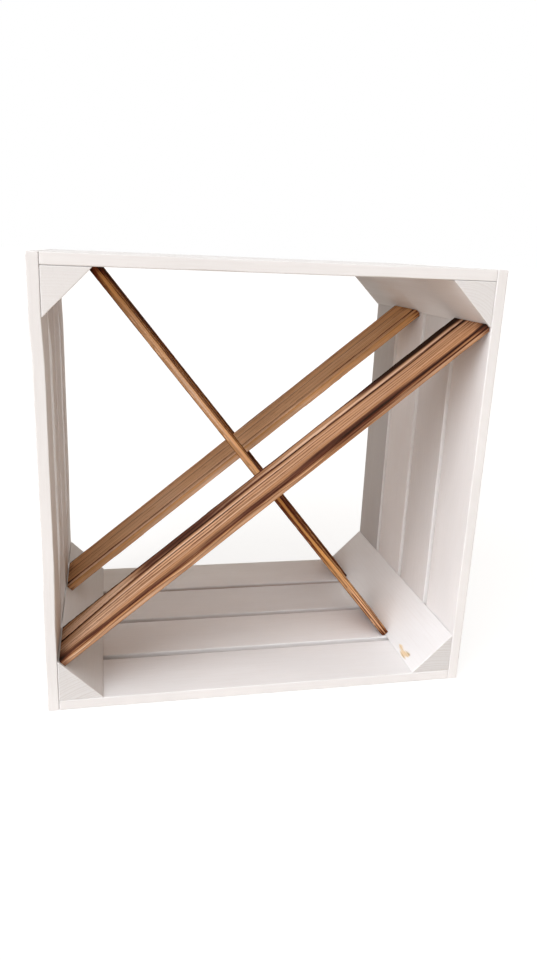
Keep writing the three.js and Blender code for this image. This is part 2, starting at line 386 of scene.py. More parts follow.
class CrateStage(bpy.types.PropertyGroup):
    """Floor, light and camera"""

    floor: FloatVectorProperty(
        name="Floor", description="Share of the light on the floor that the camera sees",
        default=(0.30, 0.30, 0.30), **COLOUR)
    floor_white: FloatVectorProperty(
        name="Floor white", description="White that the camera sees on the floor even in shadow",
        default=(0.80, 0.80, 0.80), **COLOUR)
    floor_bounce: FloatVectorProperty(
        name="Floor bounce", description="Floor as it throws light back on the crate",
        default=(0.74, 0.668, 0.605), **COLOUR)
    floor_reach: FloatProperty(
        name="Floor reach", description="Half the width of the floor",
        default=60.0, min=1.0, max=500.0, unit="LENGTH")
    lamp: FloatVectorProperty(
        name="Lamps", description="Colour of the lamps, a little cooler than the fill",
        default=(0.925, 0.957, 1.0), **COLOUR)
    key_strength: FloatProperty(
        name="Key strength", description="Strength of the soft key light", default=1.335, **STRENGTH)
    lamp_angle: FloatProperty(
        name="Lamp width", description="How wide each lamp looks from the crate",
        default=1.0, min=0.0, max=3.1, **ANGLE)
    key_azimuth: FloatProperty(
        name="Key azimuth", description="Way round from the front, to the left", default=0.6, **AZIMUTH)
    key_elevation: FloatProperty(
        name="Key elevation", description="Height of the key light above the floor",
        default=0.9, **ELEVATION)
    side_strength: FloatProperty(
        name="Side strength", description="Strength of the low light from the side",
        default=1.0, **STRENGTH)
    side_azimuth: FloatProperty(
        name="Side azimuth", description="Way round from the front, to the left", default=1.1, **AZIMUTH)
    side_elevation: FloatProperty(
        name="Side elevation", description="Height of the side light above the floor",
        default=0.3, **ELEVATION)
    front_strength: FloatProperty(
        name="Front strength", description="Strength of the lower light from the front",
        default=1.08, **STRENGTH)
    front_azimuth: FloatProperty(
        name="Front azimuth", description="Way round from the front, to the left", default=0.6, **AZIMUTH)
    front_elevation: FloatProperty(
        name="Front elevation", description="Height of the front light above the floor",
        default=0.5, **ELEVATION)
    back_strength: FloatProperty(
        name="Back strength", description="Strength of the weak light from behind",
        default=0.41, **STRENGTH)
    back_azimuth: FloatProperty(
        name="Back azimuth", description="Way round from the front, to the left", default=3.1416, **AZIMUTH)
    back_elevation: FloatProperty(
        name="Back elevation", description="Height of the back light above the floor",
        default=0.3, **ELEVATION)
    fill: FloatVectorProperty(
        name="Fill", description="Light that comes from all round",
        default=(0.353, 0.291, 0.225), subtype="COLOR", min=0.0, max=2.0)
    camera_place: FloatVectorProperty(
        name="Camera place", description="Where the camera stands",
        default=(-0.14424, -0.78057, 0.41611), subtype="TRANSLATION", unit="LENGTH")
    camera_right: FloatVectorProperty(
        name="Camera right", description="Direction of the picture's right",
        default=(0.97814, -0.20395, 0.04071), subtype="DIRECTION")
    camera_up: FloatVectorProperty(
        name="Camera up", description="Direction of the picture's top",
        default=(0.02106, 0.29191, 0.95621), subtype="DIRECTION")
    lens: FloatProperty(
        name="Lens", description="Focal length on a sensor of full frame, in millimetres",
        default=28.113, min=5.0, max=200.0)


def slow_wave(x, seed, longest, count=5):
    """Sines of x with wavelengths from longest down to a quarter of it, summed with equal weights and
    phases drawn from the seed, and divided so that the sum keeps to about -1 to 1."""
    draws = np.random.default_rng(seed)
    lengths = longest * draws.uniform(0.25, 1.0, count)
    phases = draws.uniform(0.0, 2.0 * np.pi, count)
    return np.sin(2.0 * np.pi * np.asarray(x)[..., None] / lengths + phases).sum(-1) / np.sqrt(2.0 * count)


def soft_step(low, high, x):
    """0 below low, 1 above high and 3s^2 - 2s^3 between, with s the share of the way."""
    share = np.clip((np.asarray(x) - low) / (high - low), 0.0, 1.0)
    return share * share * (3.0 - 2.0 * share)


def bell(x, middle, half):
    """exp(-((x - middle) / half)^2)."""
    return np.exp(-(((x - middle) / half) ** 2))


def run_lines(start, end, pitch, near=0.0004):
    """Even shares from 0 to 1 along a straight run, with a line close to each end so that a rounded edge
    keeps its shading to itself."""
    length = np.linalg.norm(np.subtract(end, start))
    inner = np.linspace(near / length, 1.0 - near / length, max(2, int(round(length / pitch)) + 1))
    return np.concatenate([[0.0], inner, [1.0]])


def rounded_outline(corners, radius, steps, pitches):
    """Outline of a convex polygon with each corner replaced by an arc of the given radius: the arc's centre
    lies on the corner's bisector, radius / sin(half angle) away, and the arc turns from one side's normal
    to the next side's. Gives the points, their outward normals and 1 on an arc or 0 on a straight run.
    Corners run counter-clockwise, and pitches gives the spacing of points on the side after each corner."""
    corners = np.asarray(corners, float)
    after = np.roll(corners, -1, 0) - corners
    after /= np.linalg.norm(after, axis=1, keepdims=True)
    before = np.roll(after, 1, 0)
    normal_before = np.stack([before[:, 1], -before[:, 0]], 1)
    normal_after = np.stack([after[:, 1], -after[:, 0]], 1)
    inward = -(normal_before + normal_after)
    inward /= np.linalg.norm(inward, axis=1, keepdims=True)
    reach = radius / np.sum(-inward * normal_after, 1, keepdims=True)
    centres = corners + inward * reach
    turn = np.arccos(np.clip(np.sum(normal_before * normal_after, 1), -1.0, 1.0))
    points, normals, arris = [], [], []
    for index, centre in enumerate(centres):
        start = np.arctan2(normal_before[index, 1], normal_before[index, 0])
        angles = start + turn[index] * np.linspace(0.0, 1.0, steps + 1)
        arc = np.stack([np.cos(angles), np.sin(angles)], 1)
        points.append(centre + radius * arc)
        normals.append(arc)
        arris.append(np.sin(np.pi * np.linspace(0.0, 1.0, steps + 1)))
        following = (index + 1) % len(centres)
        leave = centre + radius * normal_after[index]
        arrive = centres[following] + radius * normal_after[index]
        shares = run_lines(leave, arrive, pitches[index])[1:-1, None]
        points.append(leave + shares * (arrive - leave))
        normals.append(np.repeat(normal_after[index][None], len(shares), 0))
        arris.append(np.zeros(len(shares)))
    return np.concatenate(points), np.concatenate(normals), np.concatenate(arris)


def rectangle(half_c, half_t):
    """Corners of a rectangle about the origin, counter-clockwise."""
    return [(-half_c, -half_t), (half_c, -half_t), (half_c, half_t), (-half_c, half_t)]


def tube_faces(rows, columns):
    """Corners and sizes of a closed tube's faces: quads join neighbouring rows and columns, and one face
    closes each end."""
    row = np.arange(rows - 1)[:, None] * columns
    here = np.arange(columns)[None]
    there = (here + 1) % columns
    quads = np.stack([row + here, row + there, row + columns + there, row + columns + here], -1)
    first, last = np.arange(columns)[::-1], (rows - 1) * columns + np.arange(columns)
    loops = np.concatenate([quads.ravel(), first, last])
    totals = np.concatenate([np.full(quads.size // 4, 4), [columns, columns]])
    return loops.astype(np.int32), totals.astype(np.int32)


class Carried:
    """A closed outline carried along a straight path, with both ends rounded off and closed.

    Every vertex has its place (along, across, through), its outward normal in the section, and flags for the
    rounded edges and the ends. Rows run along the path and columns run round the outline."""

    def __init__(self, outline, shrink, start, end, stations, end_arris, rings):
        """The body rows stand at start + share * (end - start), where start and end may depend on the place
        in the section. The end rows turn by an angle from 0 to 90 degrees: each stands back from the end by
        r * (1 - sin) with the outline shrunk by r * (1 - cos), where r is the arris radius, and further rows
        lie flat with the outline shrunk by each of the rings. The last row is closed by one face."""
        points, normals, arris = outline
        turn = np.linspace(0.0, np.pi / 2, END_STEPS + 1)[1:]
        insets = np.concatenate([end_arris * (1.0 - np.cos(turn)), rings])
        back = np.concatenate([end_arris * (1.0 - np.sin(turn)), np.zeros(len(rings))])
        ends = len(insets)
        last = np.stack([shrink(points, d) for d in insets])
        body = np.repeat(points[None], len(stations), 0)
        section = np.concatenate([last[::-1], body, last])
        begin, finish = start(section[..., 1]), end(section[..., 1])
        low = begin[ends:-ends] + end_arris
        high = finish[ends:-ends] - end_arris
        self.along = np.concatenate([
            begin[:ends] + back[::-1, None],
            low + np.asarray(stations)[:, None] * (high - low),
            finish[-ends:] - back[:, None]])
        self.rows, self.columns = section.shape[:2]
        self.across = section[..., 0].copy()
        self.through = section[..., 1].copy()
        self.normal = np.repeat(normals[None], self.rows, 0)
        self.arris = np.repeat(arris[None], self.rows, 0)
        flat = (insets >= 0.999 * end_arris).astype(float)
        middle = np.zeros(len(stations))
        self.end = np.repeat(np.concatenate([flat[::-1], middle, flat])[:, None], self.columns, 1)
        sides = np.concatenate([0.0 * flat, middle + 1.0, 0.0 * flat])
        self.side = np.repeat(sides[:, None], self.columns, 1)

    def push(self, depth):
        """Moves every vertex of the sides inwards by depth along its section normal."""
        self.across -= depth * self.normal[..., 0] * self.side
        self.through -= depth * self.normal[..., 1] * self.side

    def mesh_object(self, name, origin, along, across, through, attributes):
        """Places vertices at origin + a * along + c * across + t * through, joins them to a closed tube and
        stores the named vertex attributes."""
        place = (
            np.asarray(origin)
            + self.along[..., None] * along
            + self.across[..., None] * across
            + self.through[..., None] * through
        ).reshape(-1, 3)
        return new_piece(name, place, *tube_faces(self.rows, self.columns), attributes)


def new_piece(name, place, loops, totals, attributes):
    """A mesh object from vertex places, face corners and face sizes, with vertex attributes: an array of
    three columns becomes a vector, and any other becomes a number."""
    mesh = bpy.data.meshes.new(name)
    mesh.vertices.add(len(place))
    mesh.vertices.foreach_set("co", np.ascontiguousarray(place, np.float32).ravel())
    mesh.loops.add(len(loops))
    mesh.loops.foreach_set("vertex_index", loops)
    starts = np.concatenate([[0], np.cumsum(totals)[:-1]]).astype(np.int32)
    mesh.polygons.add(len(totals))
    mesh.polygons.foreach_set("loop_start", starts)
    mesh.polygons.foreach_set("loop_total", totals)
    mesh.update(calc_edges=True)
    mesh.validate()
    mesh.shade_smooth()
    for label, values in attributes.items():
        kind = "FLOAT_VECTOR" if values.ndim == 3 else "FLOAT"
        stored = mesh.attributes.new(label, kind, "POINT")
        stored.data.foreach_set(
            "vector" if kind == "FLOAT_VECTOR" else "value", np.ascontiguousarray(values, np.float32).ravel())
    piece = bpy.data.objects.new(name, mesh)
    bpy.context.scene.collection.objects.link(piece)
    return piece


def settle(piece, material, slot, *nodes):
    """Gives a piece its material and sets it on the crate in place of the nodes that it stands for."""
    piece.data.materials.append(material)
    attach(piece, "root")
    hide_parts(*nodes)
    return piece


def growth_rings(across, through, along, heart, spacing, seed, wander=1.0):
    """Number of growth rings out from the heart of the log: the distance from a heart line that wanders
    slowly along the piece, with rings of uneven width, over the mean width of a ring."""
    drift = wander * HEART_DRIFT * slow_wave(along, seed, 0.45)
    lift = wander * HEART_LIFT * slow_wave(along, seed + 1, 0.30)
    distance = np.hypot(across - heart[0] + drift, through - heart[1] + lift)
    uneven = slow_wave(distance, seed + 2, 0.019)
    ripple = slow_wave(along + 0.2 * across, seed + 3, 0.06)
    return (distance + 0.0011 * uneven + 0.00016 * ripple) / spacing


def late_wood(rings):
    """Share of hard late wood: the fraction of the ring to the third power, so that it builds up slowly
    through the year and stops short."""
    return (rings - np.floor(rings)) ** 3


def grain_place(carried, seed):
    """Place in the log (along, across, through), moved by a whole step for each seed so that no two pieces
    share a pattern."""
    shift = np.random.default_rng(seed).uniform(-5.0, 5.0, 3)
    return np.stack([carried.along, carried.across, carried.through], -1) + shift


def node(tree, kind, inputs=(), **settings):
    """Adds a shader node, sets its properties, and links or sets its inputs by name or number."""
    made = tree.nodes.new(kind)
    for key, value in settings.items():
        setattr(made, key, value)
    for key, value in dict(inputs).items():
        if isinstance(value, bpy.types.NodeSocket):
            tree.links.new(value, made.inputs[key])
        else:
            made.inputs[key].default_value = value
    return made


def attribute(tree, name, output="Fac"):
    """The value of a vertex attribute."""
    return node(tree, "ShaderNodeAttribute", attribute_name=name).outputs[output]


def math_node(tree, operation, *values, clamp=False):
    """One arithmetic step on sockets or numbers."""
    return node(tree, "ShaderNodeMath", enumerate(values), operation=operation, use_clamp=clamp).outputs[0]


def smooth_range(tree, value, low, high, to_low=0.0, to_high=1.0):
    """Smoothly maps low..high to another range."""
    made = node(
        tree, "ShaderNodeMapRange",
        {0: value, 1: low, 2: high, 3: to_low, 4: to_high}, interpolation_type="SMOOTHSTEP")
    return made.outputs[0]


def mix_colour(tree, share, first, second, blend="MIX"):
    """Blends two colours by a share."""
    made = node(tree, "ShaderNodeMix", data_type="RGBA", blend_type=blend)
    for key, value in ((0, share), (6, first), (7, second)):
        if isinstance(value, bpy.types.NodeSocket):
            tree.links.new(value, made.inputs[key])
        elif key == 0:
            made.inputs[key].default_value = value
        else:
            made.inputs[key].default_value = (*value[:3], 1.0)
    return made.outputs[2]


def stretched_noise(tree, place, stretch, scale, detail=3.0, roughness=0.55):
    """Noise in grain places, drawn out along the grain."""
    mapped = node(tree, "ShaderNodeMapping", {"Vector": place, "Scale": stretch})
    made = node(
        tree, "ShaderNodeTexNoise",
        {"Vector": mapped.outputs[0], "Scale": scale, "Detail": detail, "Roughness": roughness})
    return made.outputs["Fac"]


def late_wood_node(tree, power):
    """The fraction of the ring number to a power."""
    rings = attribute(tree, "ring")
    return math_node(tree, "POWER", math_node(tree, "FRACT", rings), power)


def year_strength(tree, low, high):
    """A number of its own for each growth ring, from low to high."""
    year = math_node(tree, "FLOOR", attribute(tree, "ring"))
    drawn = node(tree, "ShaderNodeTexWhiteNoise", {"W": year}, noise_dimensions="1D").outputs["Value"]
    return math_node(tree, "MULTIPLY_ADD", math_node(tree, "POWER", drawn, 1.6), high - low, low)


def new_material(name):
    """A material with an empty node tree, and its output node."""
    material = bpy.data.materials.new(name)
    material.use_nodes = True
    material.node_tree.nodes.clear()
    return material, material.node_tree, material.node_tree.nodes.new("ShaderNodeOutputMaterial")


def toned(tree, colour, channels):
    """A colour times a factor for each of red, green and blue."""
    tone = node(tree, "ShaderNodeCombineColor", enumerate(channels)).outputs[0]
    return mix_colour(tree, 1.0, colour, tone, "MULTIPLY")


def surface(tree, out, colour, rough, height, strength, deepest, sockets):
    """A principled surface with a bump, linked to the material's output."""
    bump = node(tree, "ShaderNodeBump", {"Strength": strength, "Distance": deepest, "Height": height})
    shader = node(
        tree, "ShaderNodeBsdfPrincipled",
        {"Base Color": colour, "Roughness": rough, "Normal": bump.outputs[0], **sockets})
    tree.links.new(shader.outputs[0], out.inputs[0])


def painted_wood(finish):
    """Thin matt white paint, clouded a little, with brush lines along the grain, growth lines that show most
    on sawn ends, painted light and shade on the inner faces of boards and the slanting faces of posts, sawn
    ends darker partly by soaked-up paint and partly by painted shade, painted shade in the floor's gaps, and
    bare wood where the paint is missing."""
    material, tree, out = new_material("painted_softwood")
    place = attribute(tree, "grain", "Vector")
    fibre = stretched_noise(tree, place, (7.0, 160.0, 160.0), 4.0, 4.0, 0.6)
    brush = stretched_noise(tree, place, (2.5, 55.0, 55.0), 3.0, 2.0, 0.5)
    cloud = stretched_noise(tree, place, (5.0, 12.0, 12.0), 1.6, 3.0, 0.5)
    late = late_wood_node(tree, 3.0)
    sawn = attribute(tree, "sawn")
    show = math_node(tree, "MULTIPLY_ADD", sawn, 0.22, 0.06)
    patchy = smooth_range(tree, cloud, 0.35, 0.65, 0.35, 1.0)
    lines = math_node(tree, "MULTIPLY", math_node(tree, "MULTIPLY", late, show), patchy)
    streaks = smooth_range(tree, fibre, 0.42, 0.75, 0.0, 0.10)
    grey = math_node(tree, "ADD", lines, streaks, clamp=True)
    colour = mix_colour(tree, grey, finish.paint, finish.paint_grain)
    shade = smooth_range(tree, cloud, 0.3, 0.7, 0.965, 1.02)
    # Sawn ends drawn darker: partly paint soaked up by the end grain, partly painted shade
    shade = math_node(tree, "MULTIPLY", shade, math_node(tree, "MULTIPLY_ADD", sawn, -0.075, 1.0))
    # Painted light and shade: inner faces of boards and slanting faces of posts drawn lighter or darker
    shade = math_node(tree, "MULTIPLY", shade, math_node(tree, "ADD", attribute(tree, "coat"), 1.0))
    # Painted shade in the floor's gaps, taking more of blue than of red
    dust = attribute(tree, "dust")
    gap_shaded = [math_node(tree, "MULTIPLY_ADD", dust, -taken, 1.0) for taken in GAP_SHADE_TAKES]
    colour = toned(tree, colour, [math_node(tree, "MULTIPLY", shade, left) for left in gap_shaded])
    bare = attribute(tree, "bare")
    ragged = math_node(tree, "ADD", bare, math_node(tree, "MULTIPLY_ADD", fibre, 1.1, -0.55))
    worn = smooth_range(tree, ragged, 0.30, 0.85)
    darker = tuple(0.62 * channel for channel in finish.bare_wood)
    wood = mix_colour(tree, smooth_range(tree, fibre, 0.50, 0.66), finish.bare_wood, darker)
    colour = mix_colour(tree, worn, colour, wood)
    rough = smooth_range(tree, brush, 0.3, 0.7, 0.52, 0.72)
    height = math_node(
        tree, "ADD", math_node(tree, "MULTIPLY", fibre, 0.6),
        math_node(tree, "MULTIPLY_ADD", brush, 0.5, lines))
    surface(tree, out, colour, rough, height, 0.35, 0.0004, {"Specular IOR Level": 0.2})
    return material


def flamed_wood(finish):
    """Flamed and brushed pine: tan soft wood and brown late wood from the ring number, fine fibre, pale
    streaks, then scorched brown and black char where the flame mask and the fibre allow."""
    material, tree, out = new_material("flamed_softwood")
    place = attribute(tree, "grain", "Vector")
    fibre = stretched_noise(tree, place, (5.0, 260.0, 260.0), 4.0, 5.0, 0.62)
    streak = stretched_noise(tree, place, (1.6, 80.0, 80.0), 3.0, 3.0, 0.55)
    cloud = stretched_noise(tree, place, (9.0, 26.0, 26.0), 1.4, 3.0, 0.5)
    late = math_node(tree, "MULTIPLY", late_wood_node(tree, 1.8), year_strength(tree, 0.25, 1.55))
    line = smooth_range(tree, math_node(tree, "MULTIPLY_ADD", fibre, 0.35, late), 0.30, 1.12)
    soft = mix_colour(tree, attribute(tree, "honey"), finish.slat_tan, finish.slat_honey)
    colour = mix_colour(tree, line, soft, finish.slat_brown)
    pale = math_node(tree, "ADD", attribute(tree, "pale"), smooth_range(tree, streak, 0.56, 0.72, 0.0, 0.45))
    pale = math_node(tree, "MULTIPLY", pale, smooth_range(tree, late, 0.15, 0.75, 1.0, 0.15), clamp=True)
    colour = mix_colour(tree, pale, colour, finish.slat_pale)
    fine = smooth_range(tree, fibre, 0.28, 0.72, 0.74, 1.18)
    colour = toned(tree, colour, [fine] * 3)
    flame = attribute(tree, "scorch")
    licked = math_node(
        tree, "ADD", math_node(tree, "MULTIPLY_ADD", streak, 0.9, -0.45),
        math_node(tree, "MULTIPLY_ADD", cloud, 0.7, -0.35))
    burn = math_node(tree, "ADD", flame, math_node(tree, "MULTIPLY", licked, 0.75))
    burn = math_node(tree, "MULTIPLY_ADD", late, 0.16, burn)
    scorched = smooth_range(tree, burn, 0.22, 0.72, 0.0, 0.96)
    burnt = mix_colour(tree, attribute(tree, "honey"), finish.slat_burnt, finish.slat_ember)
    colour = mix_colour(tree, scorched, colour, burnt)
    charred = smooth_range(tree, burn, 0.70, 1.05, 0.0, 0.95)
    colour = mix_colour(tree, charred, colour, finish.slat_char)
    rough = smooth_range(tree, burn, 0.2, 0.9, 0.55, 0.75)
    height = math_node(
        tree, "ADD", math_node(tree, "MULTIPLY", fibre, 0.7), math_node(tree, "MULTIPLY", late, 0.8))
    surface(tree, out, colour, rough, height, 0.45, 0.0004, {"Specular IOR Level": 0.02})
    return material


def zinc_wire(finish):
    """Drawn zinc-plated wire: grey metal with dull spots and fine drawing lines."""
    material, tree, out = new_material("drawn_wire")
    place = attribute(tree, "grain", "Vector")
    dull = stretched_noise(tree, place, (400.0, 400.0, 400.0), 1.5, 3.0, 0.6)
    drawn = stretched_noise(tree, place, (60.0, 4000.0, 4000.0), 1.0, 2.0, 0.5)
    darker = tuple(0.6 * channel for channel in finish.wire)
    colour = mix_colour(tree, smooth_range(tree, dull, 0.35, 0.7), finish.wire, darker)
    rough = smooth_range(tree, dull, 0.3, 0.7, 0.28, 0.5)
    surface(tree, out, colour, rough, drawn, 0.2, 0.00005, {"Metallic": 1.0})
    return material


def one_material(name, maker):
    """The material of that name, made once."""
    return bpy.data.materials.get(name) or maker(bpy.context.scene.crate_finish)


def constant(value):
    """A function that gives the same number for any place in the section."""
    return lambda through: np.full(np.shape(through), value)


def spread(node_name, direction):
    """Lowest and highest reach of a node's box along a direction that follows an axis."""
    low, high = (np.array(corner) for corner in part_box(node_name))
    reach = (low @ direction, high @ direction)
    return min(reach), max(reach)


def board_stations(length, staples, pitch):
    """Shares along a board: even steps of the pitch, with extra lines beside and on each staple's line."""
    even = np.linspace(0.0, 1.0, int(round(length / pitch)) + 1)
    beside = np.array([-0.0024, -0.0016, -0.0010, -0.0007, 0.0, 0.0007, 0.0010, 0.0016, 0.0024])
    near = ((np.asarray(staples)[:, None] + beside) / length).ravel()
    keep = np.min(np.abs(even[:, None] - near[None]), 1) > 0.0012 / length
    return np.unique(np.concatenate([even[keep], near, [0.0, 1.0]]))


def make_board(name, along, outward, staples, seed):
    """A board: a rectangle of width by thickness with rounded edges, carried along its length. The face
    hollows by cup * (1 - (c / half width)^2), the long edges are rubbed back by wear * noise along the
    length, and each staple sits in a dent whose depth is that of the wire inside its footprint and falls
    to nothing over the width of the press. Between the posts the board bows inwards, by a share of the way
    from the bow of its front edge to that of its back edge. Where the inner face is turned up, painted shade
    lies on the long edges, darker deeper in the gap and further from the front of the crate. The inner face
    also carries painted light and shade of its own."""
    sizes = bpy.context.scene.crate_sizes
    low_a, high_a = spread(name, along)
    low_c, high_c = spread(name, Y)
    low_t, high_t = spread(name, outward)
    half_c, half_t = (high_c - low_c) / 2.0, (high_t - low_t) / 2.0
    length = high_a - low_a
    crowns = [spread(staple, along) for staple in staples]
    lines = [(low + high) / 2.0 - low_a for low, high in crowns]
    pitch = sizes.board_pitch
    outline = rounded_outline(
        rectangle(half_c, half_t), sizes.board_arris, sizes.arris_steps,
        [pitch, pitch / 2, pitch / 2.5, pitch / 2])
    rings = np.array([0.0012, 0.0025, half_t - 0.0008])
    piece = Carried(
        outline, lambda p, d: p * (1.0 - d / np.array([half_c, half_t])),
        constant(0.0), constant(length), board_stations(length - 2 * sizes.end_arris, lines, pitch),
        sizes.end_arris, rings)
    rubbed = slow_wave(piece.along + 3.0 * np.sign(piece.across), seed, 0.16)
    wear = sizes.arris_wear * soft_step(0.0, 1.2, rubbed)
    inner = soft_step(*BOARD_FACE, -piece.normal[..., 1])
    outer = soft_step(*BOARD_FACE, piece.normal[..., 1])
    hollow = sizes.board_cup * np.maximum(0.0, 1.0 - (piece.across / half_c) ** 2)
    depth = wear * piece.arris + inner * hollow
    for staple, line, (low, high) in zip(staples, lines, crowns):
        low_w, high_w = spread(staple, Y)
        wire = high - low
        sink = high_t - spread(staple, outward)[1] + wire
        beside = np.abs(piece.along - line) - wire / 2.0
        aside = (low_w + high_w) / 2.0 - (low_c + high_c) / 2.0
        beyond = np.abs(piece.across - aside) - (high_w - low_w) / 2.0
        nearest = np.maximum(beside, beyond)
        depth += outer * sink * (1.0 - soft_step(0.0001, sizes.staple_press, nearest))
    piece.push(depth)
    between = soft_step(*BOW_FROM_START, piece.along) * soft_step(*BOW_FROM_END, length - piece.along)
    front, back = BOWS.get(name, (0.0, 0.0))
    piece.through -= between * (front + (back - front) * (piece.across / half_c + 1.0) / 2.0)
    # Painted shade on the long edges in the floor's gaps, darker deeper in and further back
    turned_up = max(0.0, float(-outward @ Z))
    edge = soft_step(0.7, 0.95, np.abs(piece.normal[..., 0]))
    gap_ahead, gap_behind = low_c > CAD_LOW[1] + FLUSH, high_c < CAD_HIGH[1] - FLUSH
    from_front = np.array([low_c, high_c]) - CAD_LOW[1]
    gap_shade_share = GAP_SHADE_LEAST + (1.0 - GAP_SHADE_LEAST) * soft_step(*GAP_SHADE_FROM_FRONT, from_front)
    edge *= np.where(piece.across < 0.0, gap_ahead * gap_shade_share[0], gap_behind * gap_shade_share[1])
    dust = turned_up * edge * soft_step(*GAP_SHADE_DEPTH, piece.through + half_t)
    draws = np.random.default_rng(seed)
    heart = (draws.uniform(-0.03, 0.03), -half_t - draws.uniform(0.015, 0.06))
    spacing = draws.uniform(0.0022, 0.0034)
    ring = growth_rings(piece.across, piece.through, piece.along, heart, spacing, seed)
    origin = low_a * along + (low_c + high_c) / 2.0 * Y + (low_t + high_t) / 2.0 * outward
    # The inner face carries painted light and shade from the board's table entry
    made = piece.mesh_object(
        name + "_worn", origin, along, Y, outward,
        {"grain": grain_place(piece, seed), "ring": ring, "sawn": piece.end, "dust": dust,
         "coat": inner * PAINTED_SHADING.get(name, 0.0)})
    return settle(made, one_material("painted_softwood", painted_wood), "white_paint", name)


def make_post(name, legs, heart, ring_width, sawn, seed):
    """A post: a right-angled triangle with two equal legs and rounded corners, carried from front to back.
    Its ends shrink towards the centre of the inscribed circle, leg * (1 - 1 / sqrt 2) from both legs."""
    sizes = bpy.context.scene.crate_sizes
    first, second = legs
    corner_c, far_c = spread(name, first)
    corner_t = spread(name, second)[0]
    leg = far_c - corner_c
    low_a, high_a = spread(name, Y)
    pitch = sizes.board_pitch / 2.5
    outline = rounded_outline(
        [(0.0, 0.0), (leg, 0.0), (0.0, leg)], sizes.post_arris, sizes.arris_steps, [pitch, pitch, pitch])
    inner = leg * (1.0 - np.sqrt(0.5))
    centre = np.array([inner, inner])
    rings = np.linspace(0.0014, inner - 0.0004, 12)
    stations = np.linspace(0.0, 1.0, int(round((high_a - low_a) / sizes.board_pitch)) + 1)
    piece = Carried(
        outline, lambda p, d: centre + (p - centre) * (1.0 - d / inner),
        constant(0.0), constant(high_a - low_a), stations, sizes.end_arris, rings)
    wear = sizes.arris_wear * soft_step(0.0, 1.2, slow_wave(piece.along + 7.0 * piece.across, seed, 0.12))
    piece.push(wear * piece.arris)
    place = (heart[0] * leg, heart[1] * leg)
    ring = growth_rings(piece.across, piece.through, piece.along, place, ring_width, seed)
    origin = corner_c * first + corner_t * second + low_a * Y
    slant = soft_step(0.6, 0.95, piece.normal.sum(-1) / np.sqrt(2.0)) * piece.side
    # Painted light and shade along the slanting face, darker towards the back
    coat = strength_along(POST_PAINTED_SHADING.get(name, LEVEL), piece.along / (high_a - low_a))
    made = piece.mesh_object(
        name + "_worn", origin, Y, first, second,
        {"grain": grain_place(piece, seed), "ring": ring, "sawn": sawn * piece.end,
         "bare": bare_patch(name, piece, slant, leg), "coat": slant * coat})
    return settle(made, one_material("painted_softwood", painted_wood), "white_paint", name)


def bare_patch(name, piece, slant, leg):
    """Where paint is missing on the lower right post: a bell-shaped spot on its slanting face with a speck
    behind it and two strokes before it, fainter lines low on its front end, and nothing on other posts."""
    if name != "post_bottom_right":
        return np.zeros_like(piece.along)
    slope = (piece.across - piece.through) / leg
    spot = bell(slope, 0.84, 0.14) * bell(piece.along, 0.032, 0.010)
    speck = bell(slope, 0.74, 0.07) * bell(piece.along, 0.045, 0.005)
    both = bell(piece.along, 0.030, 0.002) + bell(piece.along, 0.024, 0.002)
    strokes = bell(slope, 0.70, 0.08) * both
    front = piece.end * (piece.along < 0.001) * (1.0 - soft_step(0.012, 0.019, piece.across))
    lines = bell(piece.through, 0.0044, 0.0009) + bell(piece.through, 0.0010, 0.0008)
    return 0.95 * (spot + speck + 0.8 * strokes) * slant + 0.42 * front * lines


def slat_section(name):
    """The slat's directions and reach: through is the normal of its largest face, turned up, along is +Y
    crossed with through, and each end is the chain of the solid's corners at that end."""
    mesh = NODES[name].data
    areas = np.empty(len(mesh.polygons))
    mesh.polygons.foreach_get("area", areas)
    through = np.array(mesh.polygons[int(np.argmax(areas))].normal)
    through *= np.sign(through[2])
    along = np.cross(Y, through)
    places = np.empty(len(mesh.vertices) * 3)
    mesh.vertices.foreach_get("co", places)
    places = places.reshape(-1, 3)
    a, t = places @ along, places @ through
    middle_a, middle_t = (a.min() + a.max()) / 2.0, (t.min() + t.max()) / 2.0
    corners = np.unique(np.round(np.stack([t - middle_t, a - middle_a], 1), 6), axis=0)
    left = corners[corners[:, 1] < 0.0]
    right = corners[corners[:, 1] > 0.0]
    return {
        "along": along, "through": through, "middle": middle_a * along + middle_t * through,
        "half": (t.max() - t.min()) / 2.0,
        "start": lambda level: np.interp(level, left[:, 0], left[:, 1]),
        "end": lambda level: np.interp(level, right[:, 0], right[:, 1]),
        "length": a.max() - a.min(),
    }


def along_share(piece, length):
    """0 at the start of the slat and 1 at its end."""
    return np.clip(piece.along / length + 0.5, 0.0, 1.0)


def strength_along(pairs, share):
    """Strength at each share of the length: straight lines between the given pairs."""
    places, values = zip(*pairs)
    return np.interp(share, places, values)


def banded(bands, share, level, seed):
    """Sum of bell-shaped bands across a face of the slat. They wander together along the slat, and the
    strength of each follows its pairs, times a slow swell."""
    wander = 0.012 * slow_wave(share, seed, 0.6)
    total = np.zeros_like(share)
    for index, (middle, half, pairs) in enumerate(bands):
        swell = 1.0 + 0.18 * slow_wave(share, seed + 7 * index + 3, 0.33)
        total += bell(level + wander, middle, half) * strength_along(pairs, share) * swell
    return total


